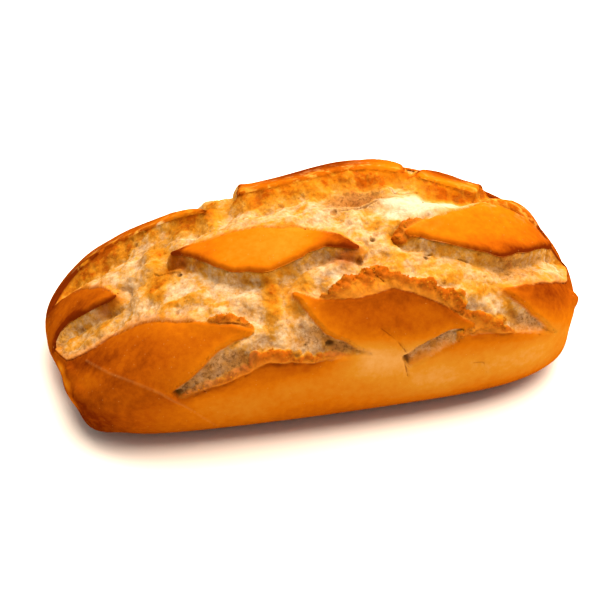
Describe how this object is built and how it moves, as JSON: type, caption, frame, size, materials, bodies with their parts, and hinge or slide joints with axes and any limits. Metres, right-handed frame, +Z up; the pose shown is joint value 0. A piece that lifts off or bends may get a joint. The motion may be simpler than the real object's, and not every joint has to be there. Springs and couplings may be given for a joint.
{
  "type": "candeal bread stick",
  "caption": "Short oblong white loaf slashed crosswise, with raised crust plates, torn pale valleys between them and a flat base.",
  "frame": {"origin": "middle of the bounding box, on the floor under the flat base", "axes": "+X along the loaf to its right end, -Y towards the shown long side, +Z up"},
  "size_m": [0.2114, 0.1196, 0.0753],
  "materials": {
    "crust": "golden brown baked crust, satin on the smooth plates, rough pale cream crumb in the torn cuts"
  },
  "bodies": {
    "root": {"candeal_loaf": "crust"}
  },
  "joints": []
}
